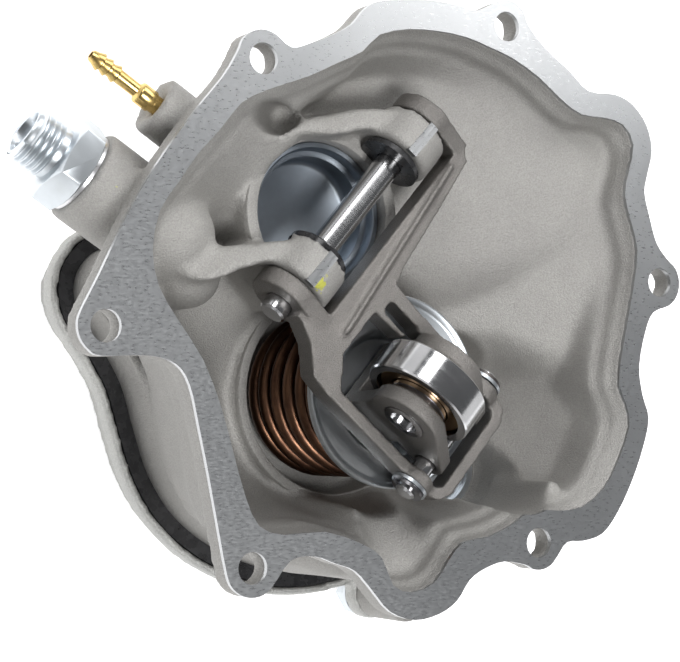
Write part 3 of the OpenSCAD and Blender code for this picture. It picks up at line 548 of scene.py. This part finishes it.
def shell_edge(degrees, farthest=32, step=0.25):
    """Radius round the spring bore at which the bowl's shell begins."""
    radius = BORE_R
    while radius < farthest and bowl_height(*polar(radius, degrees)) < RIM_TOP + 1:
        radius += step
    return radius


def ring_piece(name, inner, outer, top, degrees, steps):
    """A piece of a square-cut ring that starts at X."""
    section = [(inner, WALL_FOOT), (outer, WALL_FOOT), (outer, top), (inner, top)]
    return wound(name, section, degrees / 360, 0, steps)


def make_pocket_wall(degrees=113, thickness=2.55, top=46, inset=1.1):
    """Wall round the pocket beside the spring bore, as high as the bowl beside it."""
    wall = ring_piece("pocket_wall", POCKET_R, POCKET_R + thickness, top, degrees, 60)
    for vertex in wall.data.vertices:
        if vertex.co.z / MM > top - 1:
            angle = math.degrees(math.atan2(vertex.co.y, vertex.co.x))
            heights = []
            for radius in (POCKET_R, POCKET_R + inset):
                x, y = polar(radius, angle)
                heights.append(bowl_height(x + POCKET_AT[0], y + POCKET_AT[1]))
            found = [height for height in heights if height > RIM_TOP + 1] or [RIM_TOP]
            vertex.co.z = (sum(found) / len(found) - COVERED) * MM
    put(wall, at(POCKET_AT))
    return wall


def make_bore_wall(start=36, end=94, thickness=2.4, top=40, fall=0.5, rise=0.75, reach=2.6,
                   past=0.1, highest=43):
    """Wall from the rim of the spring bore up to the edge of the bowl's shell."""
    wall = ring_piece("bore_wall", BORE_R, BORE_R + thickness, top, end - start, 34)
    put(wall, Matrix.Rotation(math.radians(start), 4, "Z"))
    for vertex in wall.data.vertices:
        if vertex.co.z / MM > top - 1:
            radius = math.hypot(vertex.co.x, vertex.co.y) / MM
            angle = math.degrees(math.atan2(vertex.co.y, vertex.co.x))
            edge = shell_edge(angle)
            height = bowl_height(*polar(edge + past, angle)) - COVERED
            if radius > BORE_R + thickness / 2:
                x, y = polar(edge + reach, angle)
                height += rise * reach
            else:
                x, y = polar(BORE_R, angle)
                height -= fall * (edge - BORE_R)
            vertex.co = (x * MM, y * MM, min(height, highest) * MM)
    return wall


def make_mouth_wall(inset=0.3, low=40, high=64.5):
    """Wall behind the bowl's edge, beside the outlet valve."""
    behind_wall = [polar(mouth_radius(angle) + inset, angle) for angle in (327, 324, 321.5)]
    behind_edge = [(32.4, -28.1), (26.8, -31), (20, -33.8)]
    outside = [(19.4, -35.8), (27.4, -33.1), (32.8, -30.4), (38.2, -30.4), (41.3, -27),
               (44.3, -21.5), polar(mouth_radius(327) + inset, 334)]
    return extruded("mouth_wall", behind_wall + behind_edge + outside, low, high)


# Housing and cover

housing_skin = cast_skin("housing", "housing_casting", 1.08 * MM, 3,
                         added=(make_pocket_wall(), make_bore_wall(), make_mouth_wall()))
dress(housing_skin, casting, "pump_body", "cast_aluminium", "housing")

# Turned rims of the bosses, as crisp as the real ones
rims = turned("boss_rims", [(16.82, 48), (19.4, 48), (19.8, 48.5), (19.8, 57.7), (19.5, 58.06),
                            (17.1, 58.06), (16.82, 57.8), (16.82, 48)], 96)
put(rims, at(PLUG_AT))
valve_rim = turned("valve_rim", [(10.24, 29.6), (12.3, 29.6), (12.62, 30), (12.62, 31.7),
                                 (12.3, 32.06), (10.5, 32.06), (10.24, 31.8), (10.24, 29.6)], 72)
put(valve_rim, at(VALVE_AT))
bore_rim = turned("bore_rim", [(BORE_R, 30), (26.1, 30), (26.5, 30.4), (26.5, 33.7), (26.2, 34.06),
                               (24.3, 34.06), (BORE_R, 33.8), (BORE_R, 30)], 128)
join_pieces(rims, valve_rim, bore_rim)
shade(rims, 50)
dress(rims, casting, "pump_body", "cast_aluminium")

flange_face = merged_copy("housing", "flange_face")
pick(flange_face, lambda centre, normal: normal.z > 0.99 and centre.z > FLANGE_Z - 0.2 * MM)
bpy.ops.mesh.select_all(action="INVERT")
bpy.ops.mesh.delete(type="FACE")
bpy.ops.mesh.select_all(action="SELECT")
bpy.ops.transform.translate(value=(0, 0, 0.06 * MM))
bpy.ops.mesh.extrude_region_move(TRANSFORM_OT_translate={"value": (0, 0, -1.2 * MM)})
outward()
shade(flange_face, 30)
dress(flange_face, milled, "pump_body", "cast_aluminium")

cover_skin = cast_skin("cover", "cover_casting", 1.0 * MM, 4)
dress(cover_skin, cover_casting, "pump_body", "cast_aluminium", "cover")

# Rocker and fork

lever_skin = cast_skin("rocker_lever", "rocker_casting", 0.5 * MM, 3)
dress(lever_skin, lever_casting, "rocker", "rocker_steel", "rocker_lever")

fork_skin = cast_skin("roller_fork", "fork_casting", 0.4 * MM, 2)
dress(fork_skin, lever_casting, "piston_group", "rocker_steel", "roller_fork")

# Spring retainer and core plug, pressed from sheet

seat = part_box("spring_retainer")
BASE = seat[0].z / MM
TOP = seat[1].z / MM - 1
dish = turned("retainer_dish", [
    (4.6, BASE), (12.4, BASE), (13.2, BASE + 0.5), (15.2, TOP - 1.9), (15.9, TOP - 1.4),
    (21.4, TOP - 1.4), (22.2, TOP - 1), (22.35, TOP - 0.3), (22.35, TOP + 0.6), (22, TOP + 1),
    (21.4, TOP + 0.9), (20.9, TOP + 0.3), (20.2, TOP), (15.4, TOP), (14.5, TOP - 0.5),
    (12.6, BASE + 1.9), (11.9, BASE + 1.4), (4.6, BASE + 1.4), (4.6, BASE)], 128)
shade(dish, 45)

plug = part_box("core_plug")
plug_middle = (plug[0] + plug[1]) / 2
cup = turned("core_plug_cup", [
    (0, 0.02), (15.2, 0.02), (16.3, 0.5), (16.75, 1.6), (16.75, 10.6), (16.45, 11), (15.5, 11),
    (15.2, 10.7), (15.15, 8.9), (14.9, 8.4), (14.2, 8.3), (13.7, 8), (13.6, 3.6), (13.2, 2.4),
    (12.2, 1.75), (0, 1.7)], 96)
put(cup, Matrix.Translation((plug_middle.x, plug_middle.y, plug[0].z - 0.02 * MM)))
shade(cup, 45)

# Fittings

hexagon = turned("union", [(0, 0.8), (9.35, 0.8), (11.1, 1.75), (11.1, 6.3), (9.35, 7.2), (0, 7.2)])
deselect_all()
bpy.ops.mesh.primitive_cylinder_add(vertices=6, radius=19 / math.sqrt(3) * MM, depth=30 * MM)
prism = bpy.context.object
cut = hexagon.modifiers.new("flats", "BOOLEAN")
cut.operation = "INTERSECT"
cut.solver = "EXACT"
cut.object = prism
apply_modifiers(hexagon)
bpy.data.objects.remove(prism)
round_edges(hexagon, 0.15 * MM, 2, 20)
stem = turned("stem", [
    (4, -6), (6.95, -6), (6.95, 0.9), (6.2, 0.9), (6.2, 7.9), (6.05, 8.4), (6.05, 14.9),
    (5.7, 15.6), (5.4, 15.75), (4.9, 15.4), (4, 13), (4, -6)], 64)
thread = wound("thread", [(6, -0.62), (6.88, -0.14), (6.95, 0), (6.88, 0.14), (6, 0.62)],
               4.4, 6.6, 260)
put(thread, Matrix.Translation((0, 0, 8.5 * MM)))
join_pieces(hexagon, stem, thread)
put(hexagon, port_place(UNION_AT, UNION_DEPTH))
shade(hexagon, 28)

barbs = []
for foot in (10.1, 12.45, 14.4):
    barbs += [(1.6, foot), (1.75, foot + 0.12), (2.12, foot + 0.3), (2.14, foot + 0.42),
              (1.6, foot + 1.65)]
nipple = turned("nipple", [
    (0.8, -7.9), (2.1, -7.9), (2.1, 0.4), (2.42, 0.5), (2.5, 0.7), (2.5, 3.9), (2.35, 4.25),
    (1.9, 4.5), (1.6, 4.8)] + barbs + [(1.3, 17.2), (1.1, 17.45), (0.8, 17.4), (0.8, -7.9)], 48)
put(nipple, port_place(NIPPLE_AT, NIPPLE_DEPTH))
shade(nipple, 40)

dress(dish, zinc, "piston_group", "zinc_steel", "spring_retainer")
dress(cup, dark_zinc, "pump_body", "dark_zinc", "core_plug")
dress(hexagon, zinc, "pump_body", "zinc_steel", "union_fitting")
dress(nipple, brass, "pump_body", "brass", "hose_nipple")


# Springs

def fit_spring(name, node, material, slot, mean_r, wire, turns):
    low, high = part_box(node)
    middle = (low + high) / 2
    foot = Vector((middle.x, middle.y, low.z))
    coil = wound_spring(name, foot, mean_r, wire, (high.z - low.z) / MM, turns)
    dress(coil, material, "pump_body", slot, node)
    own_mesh(coil)


# The return spring's dark colour is partly its own copper tone and partly painted shade of the bore
fit_spring("spring_coil", "return_spring", spring_steel, "spring_steel", 18.2, 3.6, 4)
fit_spring("inlet_coil", "inlet_valve_spring", zinc, "valve_steel", 3.6, 0.6, 3)
fit_spring("outlet_coil", "outlet_valve_spring", zinc, "valve_steel", 5, 0.6, 2.5)


# Finishes of the CAD nodes that show as they are

def finish_node(name, material, degrees=30):
    node = nodes[name]
    node.data.materials.clear()
    node.data.materials.append(material)
    only(node)
    bpy.ops.object.shade_smooth_by_angle(angle=math.radians(degrees))


finishes = {
    "cover_seal": rubber, "cover_screws": zinc, "shaft_bushes": bronze, "shaft_seals": rubber,
    "rod_bush": bronze, "rod_seal": rubber, "union_washer": turned_alloy,
    "inlet_valve_seat": turned_alloy, "inlet_valve_plate": rubber, "outlet_valve_plate": rubber,
    "outlet_valve_cap": zinc, "outlet_snap_ring": zinc, "pivot_shaft": pin_steel,
    "cross_pin": pin_steel, "cross_pin_washers": zinc, "cross_pin_clips": clip_steel,
    "roller_pin": pin_steel, "roller_spacers": clip_steel, "bearing_inner_ring": roller_steel,
    "bearing_balls": roller_steel, "bearing_cage": bronze, "bearing_outer_ring": roller_steel,
    "piston_rod": rod_steel, "piston": turned_alloy, "piston_ring": rubber,
    "piston_washer": zinc, "piston_nut": zinc,
}
for node_name, material in finishes.items():
    finish_node(node_name, material)


# Floor, light and background

def add_stage():
    bpy.ops.mesh.primitive_circle_add(vertices=96, radius=3, fill_type="NGON",
                                      location=(0, 0, -0.0002))
    floor = bpy.context.object
    floor.name = "floor"
    settle(floor)
    pick(floor, lambda centre, normal: True, "EDGE")
    bpy.ops.mesh.extrude_edges_move(TRANSFORM_OT_translate={"value": (0, 0, 1.2)})
    bpy.ops.object.mode_set(mode="OBJECT")
    material = bpy.data.materials.new("paper")
    material.use_nodes = True
    tree = material.node_tree
    tree.nodes.clear()
    output = tree.nodes.new("ShaderNodeOutputMaterial")
    diffuse = tree.nodes.new("ShaderNodeBsdfDiffuse")
    diffuse.inputs["Color"].default_value = (0.86, 0.86, 0.86, 1)
    glow = tree.nodes.new("ShaderNodeEmission")
    rays = tree.nodes.new("ShaderNodeLightPath")
    seen = tree.nodes.new("ShaderNodeMath")
    seen.operation = "ADD"
    seen.use_clamp = True
    join(tree, rays.outputs["Is Camera Ray"], seen.inputs[0])
    join(tree, rays.outputs["Is Glossy Ray"], seen.inputs[1])
    join(tree, multiply(tree, seen.outputs["Value"], 0.7), glow.inputs["Strength"])
    both = tree.nodes.new("ShaderNodeAddShader")
    join(tree, diffuse.outputs["BSDF"], both.inputs[0])
    join(tree, glow.outputs["Emission"], both.inputs[1])
    join(tree, both.outputs["Shader"], output.inputs["Surface"])
    floor.data.materials.append(material)


def add_lamp(name, place, target, size, power):
    lamp = bpy.data.lights.new(name, "AREA")
    lamp.shape = "RECTANGLE"
    lamp.size = size[0]
    lamp.size_y = size[1]
    lamp.energy = power
    item = bpy.data.objects.new(name, lamp)
    item.location = place
    item.rotation_mode = "QUATERNION"
    item.rotation_quaternion = (Vector(target) - Vector(place)).to_track_quat("-Z", "Y")
    bpy.context.scene.collection.objects.link(item)


add_stage()
middle = (0, 0.02, 0.05)
add_lamp("softbox_key", (-0.15, -0.35, 1.0), middle, (0.35, 0.35), 8)
add_lamp("softbox_fill", (-0.4, 0.7, 0.8), middle, (0.5, 0.4), 3.6)
add_lamp("softbox_top", (0.26, 0.42, 0.48), (0.02, 0.06, 0.07), (0.6, 0.34), 2.3)
world = bpy.data.worlds.new("studio")
world.use_nodes = True
world.node_tree.nodes["Background"].inputs["Color"].default_value = (0.95, 0.97, 1.0, 1)
world.node_tree.nodes["Background"].inputs["Strength"].default_value = 0.12
bpy.context.scene.world = world
bpy.context.scene.view_settings.view_transform = "Standard"
